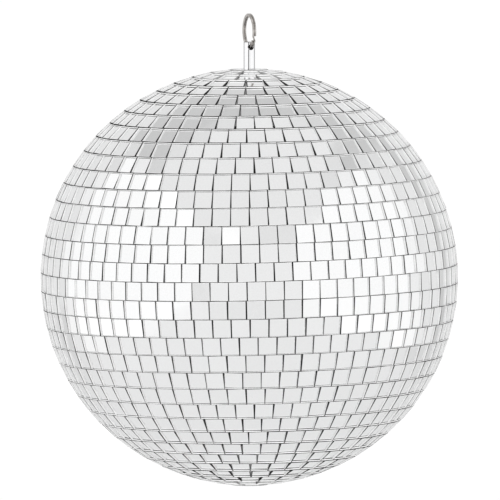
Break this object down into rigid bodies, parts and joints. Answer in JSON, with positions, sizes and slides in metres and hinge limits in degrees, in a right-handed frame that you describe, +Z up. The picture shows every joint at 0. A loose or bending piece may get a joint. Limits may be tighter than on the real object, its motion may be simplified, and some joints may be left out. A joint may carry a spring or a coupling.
{
  "type": "mirror ball",
  "caption": "Hanging mirror ball: rows of flat glass mirror tiles on a two-piece moulded core, hung from a split ring through a cross-drilled steel pin.",
  "frame": {"origin": "the point inside the top of the split ring where a hook bears", "axes": "+Z up along the hanger pin, +Y along the pin's cross hole, in the plane of the split ring"},
  "size_m": [0.2997, 0.2996, 0.3393],
  "materials": {
    "mirror_glass": "silvered glass, polished",
    "core_plastic": "moulded, matt",
    "pin_chrome": "bright chrome plate",
    "ring_nickel": "nickel plate",
    "zinc_plate": "zinc plate"
  },
  "bodies": {
    "ring": {"split_ring": "ring_nickel"},
    "ball": {"hanger_pin": "pin_chrome", "recessed_nut": "zinc_plate", "spreader_plate": "zinc_plate", "spring_washer": "zinc_plate", "clamp_nut": "zinc_plate", "lock_nut": "zinc_plate", "upper_core_shell": "core_plastic", "lower_core_shell": "core_plastic", "top_pole_tile": "mirror_glass", "mirror_row_01": "mirror_glass", "mirror_row_02": "mirror_glass", "mirror_row_03": "mirror_glass", "mirror_row_04": "mirror_glass", "mirror_row_05": "mirror_glass", "mirror_row_06": "mirror_glass", "mirror_row_07": "mirror_glass", "mirror_row_08": "mirror_glass", "mirror_row_09": "mirror_glass", "mirror_row_10": "mirror_glass", "mirror_row_11": "mirror_glass", "mirror_row_12": "mirror_glass", "mirror_row_13": "mirror_glass", "mirror_row_14": "mirror_glass", "mirror_row_15": "mirror_glass", "mirror_row_16": "mirror_glass", "mirror_row_17": "mirror_glass", "mirror_row_18": "mirror_glass", "mirror_row_19": "mirror_glass", "mirror_row_20": "mirror_glass", "mirror_row_21": "mirror_glass", "mirror_row_22": "mirror_glass", "mirror_row_23": "mirror_glass", "mirror_row_24": "mirror_glass", "mirror_row_25": "mirror_glass", "mirror_row_26": "mirror_glass", "mirror_row_27": "mirror_glass", "mirror_row_28": "mirror_glass", "mirror_row_29": "mirror_glass", "mirror_row_30": "mirror_glass", "mirror_row_31": "mirror_glass", "mirror_row_32": "mirror_glass", "mirror_row_33": "mirror_glass", "bottom_pole_tile": "mirror_glass"}
  },
  "joints": [
    {"name": "ball_swing", "type": "hinge", "parent": "ring", "child": "ball", "pos_m": [0, 0, -0.0215], "axis": [0, 1, 0], "range_deg": [-130, 130]}
  ]
}
